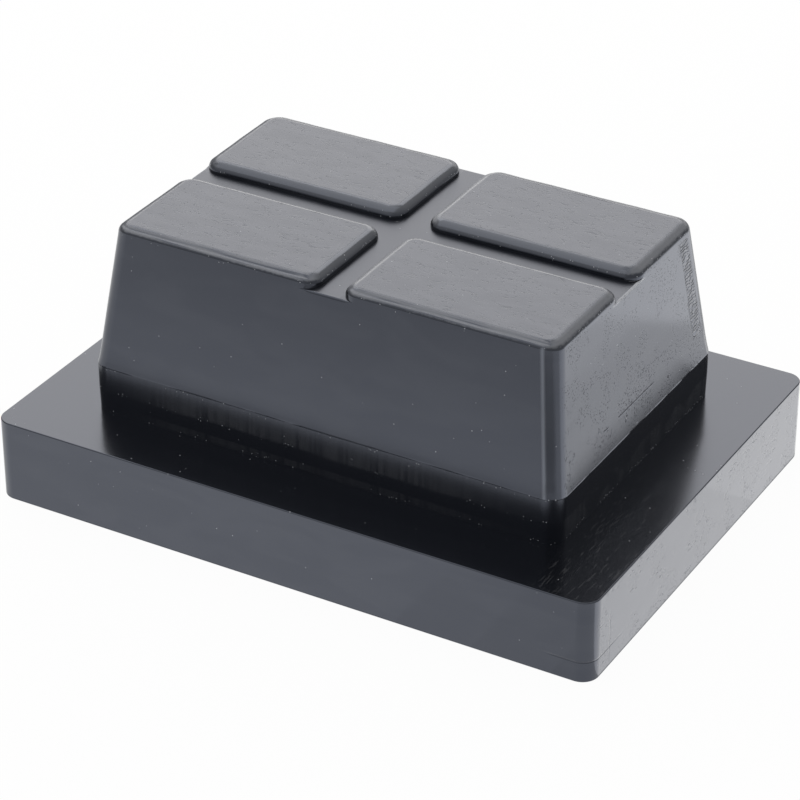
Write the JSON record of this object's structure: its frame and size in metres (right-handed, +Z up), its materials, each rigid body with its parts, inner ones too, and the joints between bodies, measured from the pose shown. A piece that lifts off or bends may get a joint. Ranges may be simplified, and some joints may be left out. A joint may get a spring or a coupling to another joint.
{
  "type": "rubber lift pad",
  "caption": "Black rubber lift pad: a broad foot slab carrying a leaning block, with bevelled pads on top parted by a cross of shallow channels.",
  "frame": {"origin": "middle of the flat underside", "axes": "+Z up out of the pad tops, +X along the slab's long side"},
  "size_m": [0.16, 0.1148, 0.069],
  "materials": {
    "rubber": "satin black, smooth where the mould was smooth, lightly scuffed and dusty"
  },
  "bodies": {
    "root": {"lift_pad": "rubber"}
  },
  "joints": []
}
